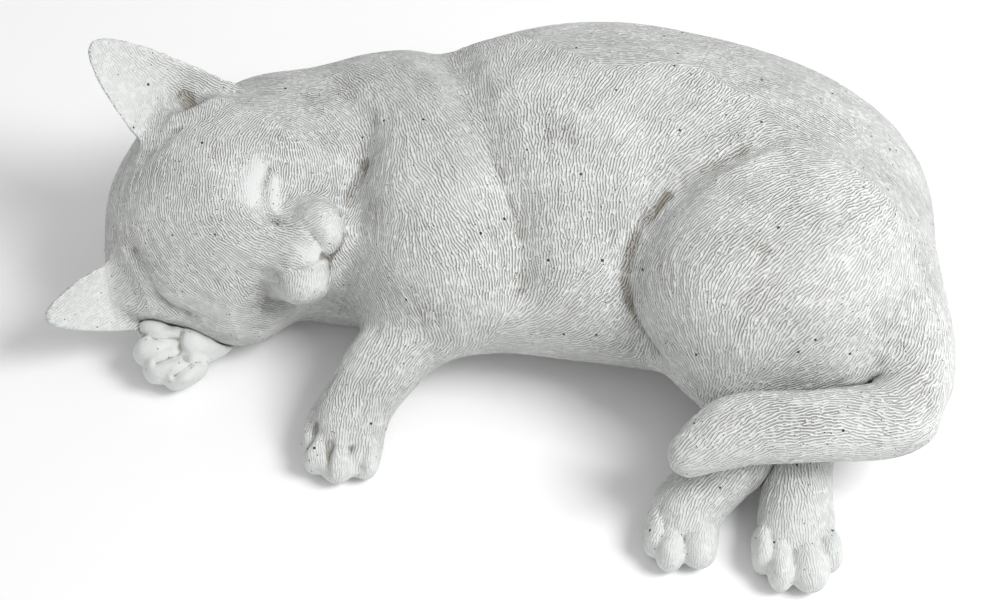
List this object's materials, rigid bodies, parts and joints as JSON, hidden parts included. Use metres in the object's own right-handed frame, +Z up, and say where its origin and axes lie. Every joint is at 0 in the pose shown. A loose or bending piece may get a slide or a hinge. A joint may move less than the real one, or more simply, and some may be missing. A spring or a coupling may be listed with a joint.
{
  "type": "sleeping cat statue",
  "caption": "Cast stone ornament of a cat asleep on its side, tail curled past its hind feet, made in pinned sections and resting on a flat underside.",
  "frame": {"origin": "on the resting plane, under the middle of the bounding box", "axes": "+X from head to rump, +Y from paws to back, +Z up"},
  "size_m": [0.3922, 0.278, 0.1281],
  "materials": {
    "cast_stone": "matt, carved with fur strokes, with small air-bubble pits",
    "dowel_steel": "plain drawn rod"
  },
  "bodies": {
    "root": {"shoulders": "cast_stone", "barrel": "cast_stone", "haunches": "cast_stone", "head": "cast_stone", "left_ear": "cast_stone", "right_ear": "cast_stone", "left_foreleg": "cast_stone", "right_foreleg": "cast_stone", "tail": "cast_stone", "left_hind_foot": "cast_stone", "right_hind_foot": "cast_stone", "neck_dowel": "dowel_steel", "shoulder_dowel": "dowel_steel", "loin_dowel": "dowel_steel", "left_foreleg_dowel": "dowel_steel", "right_foreleg_dowel": "dowel_steel", "left_hind_foot_dowel": "dowel_steel", "right_hind_foot_dowel": "dowel_steel", "tail_dowel": "dowel_steel", "left_ear_pin": "dowel_steel", "right_ear_pin": "dowel_steel"}
  },
  "joints": []
}
